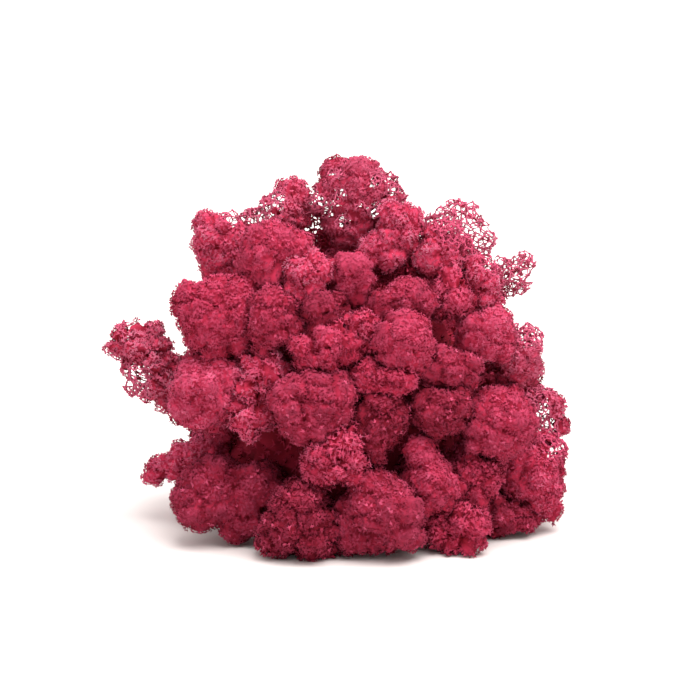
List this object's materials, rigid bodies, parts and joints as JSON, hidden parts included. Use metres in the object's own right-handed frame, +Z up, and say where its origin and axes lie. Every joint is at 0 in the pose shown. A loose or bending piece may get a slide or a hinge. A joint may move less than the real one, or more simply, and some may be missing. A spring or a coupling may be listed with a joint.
{
  "type": "reindeer moss clump",
  "caption": "Rounded clump of dyed, preserved reindeer moss: lumpy tufts on short stems, matted in the middle and cut flat underneath to rest on a surface.",
  "frame": {"origin": "the middle of the clump's footprint, on the surface it rests on", "axes": "+X is the clump's longest way, to the right seen from the front; +Y is to the back; +Z is up"},
  "size_m": [0.1596, 0.134, 0.1276],
  "materials": {
    "dense_moss": "dyed raspberry, matt, very finely branched",
    "open_moss": "dyed pink, matt, open branching",
    "matted_stems": "dyed deep crimson, matt, matted stems"
  },
  "bodies": {
    "root": {"crown_tuft_1": "open_moss", "crown_tuft_2": "open_moss", "crown_tuft_3": "dense_moss", "crown_tuft_4": "dense_moss", "left_shoulder_tuft_1": "dense_moss", "left_shoulder_tuft_2": "dense_moss", "left_shoulder_tuft_3": "dense_moss", "right_shoulder_tuft_1": "dense_moss", "right_shoulder_tuft_2": "open_moss", "right_shoulder_tuft_3": "open_moss", "right_shoulder_tuft_4": "dense_moss", "upper_front_tuft_1": "dense_moss", "upper_front_tuft_2": "dense_moss", "upper_front_tuft_3": "dense_moss", "upper_front_tuft_4": "dense_moss", "upper_front_tuft_5": "dense_moss", "upper_front_tuft_6": "dense_moss", "upper_front_tuft_7": "dense_moss", "middle_front_tuft_1": "dense_moss", "middle_front_tuft_2": "dense_moss", "middle_front_tuft_3": "dense_moss", "middle_front_tuft_4": "dense_moss", "middle_front_tuft_5": "dense_moss", "middle_front_tuft_6": "dense_moss", "middle_front_tuft_7": "dense_moss", "middle_front_tuft_8": "dense_moss", "left_side_tuft_1": "open_moss", "left_side_tuft_2": "dense_moss", "left_side_tuft_3": "dense_moss", "right_side_tuft_1": "dense_moss", "right_side_tuft_2": "open_moss", "right_side_tuft_3": "dense_moss", "right_side_tuft_4": "open_moss", "right_side_tuft_5": "dense_moss", "lower_front_tuft_1": "dense_moss", "lower_front_tuft_2": "dense_moss", "lower_front_tuft_3": "dense_moss", "lower_front_tuft_4": "dense_moss", "lower_front_tuft_5": "dense_moss", "lower_front_tuft_6": "dense_moss", "lower_front_tuft_7": "dense_moss", "lower_front_tuft_8": "dense_moss", "lower_back_tuft_1": "dense_moss", "lower_back_tuft_2": "dense_moss", "lower_back_tuft_3": "dense_moss", "lower_back_tuft_4": "dense_moss", "lower_back_tuft_5": "dense_moss", "middle_back_tuft_1": "dense_moss", "middle_back_tuft_2": "dense_moss", "middle_back_tuft_3": "dense_moss", "middle_back_tuft_4": "dense_moss", "middle_back_tuft_5": "dense_moss", "upper_back_tuft_1": "dense_moss", "upper_back_tuft_2": "dense_moss", "upper_back_tuft_3": "dense_moss", "upper_back_tuft_4": "dense_moss", "top_back_tuft_1": "dense_moss", "top_back_tuft_2": "dense_moss", "top_back_tuft_3": "dense_moss", "stem_tangle": "matted_stems"}
  },
  "joints": []
}
